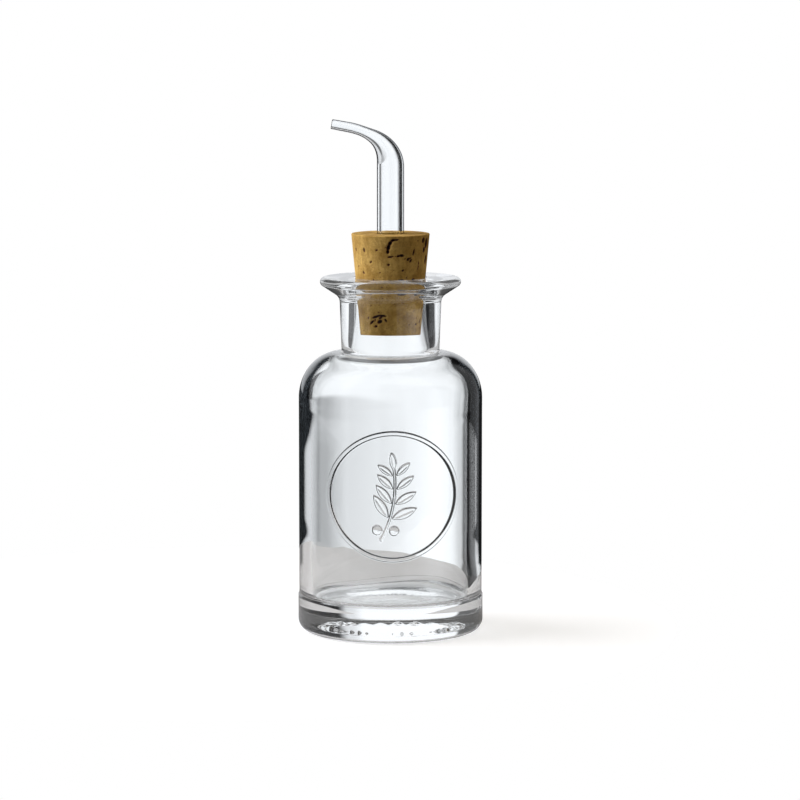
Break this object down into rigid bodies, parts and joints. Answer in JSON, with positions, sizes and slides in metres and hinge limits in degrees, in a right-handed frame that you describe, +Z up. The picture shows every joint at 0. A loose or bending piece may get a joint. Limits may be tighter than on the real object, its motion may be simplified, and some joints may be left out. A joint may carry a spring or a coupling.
{
  "type": "oil and vinegar bottle",
  "caption": "Clear glass bottle with a wide flat lip, a tapered cork stopper and a bent glass pouring tube through it, for dressing oil or vinegar.",
  "frame": {"origin": "centre of the ring that the bottle stands on", "axes": "+Z up along the bottle's axis; the raised round seal faces -Y; the nozzle of the pouring tube points to -X at rest"},
  "size_m": [0.0658, 0.0663, 0.182],
  "materials": {
    "clear_glass": "clear, moulded, fire polished",
    "natural_cork": "bare natural cork, matt, with dark pores",
    "tube_glass": "clear, drawn tube"
  },
  "bodies": {
    "bottle": {"glass_bottle": "clear_glass"},
    "stopper": {"cork_stopper": "natural_cork"},
    "spout": {"pouring_tube": "tube_glass"}
  },
  "joints": [
    {"name": "stopper_pull", "type": "slide", "parent": "bottle", "child": "stopper", "axis": [0, 0, 1], "range_m": [0, 0.045]},
    {"name": "tube_turn", "type": "hinge", "parent": "stopper", "child": "spout", "pos_m": [0, 0, 0.142], "axis": [0, 0, 1], "continuous": true}
  ]
}
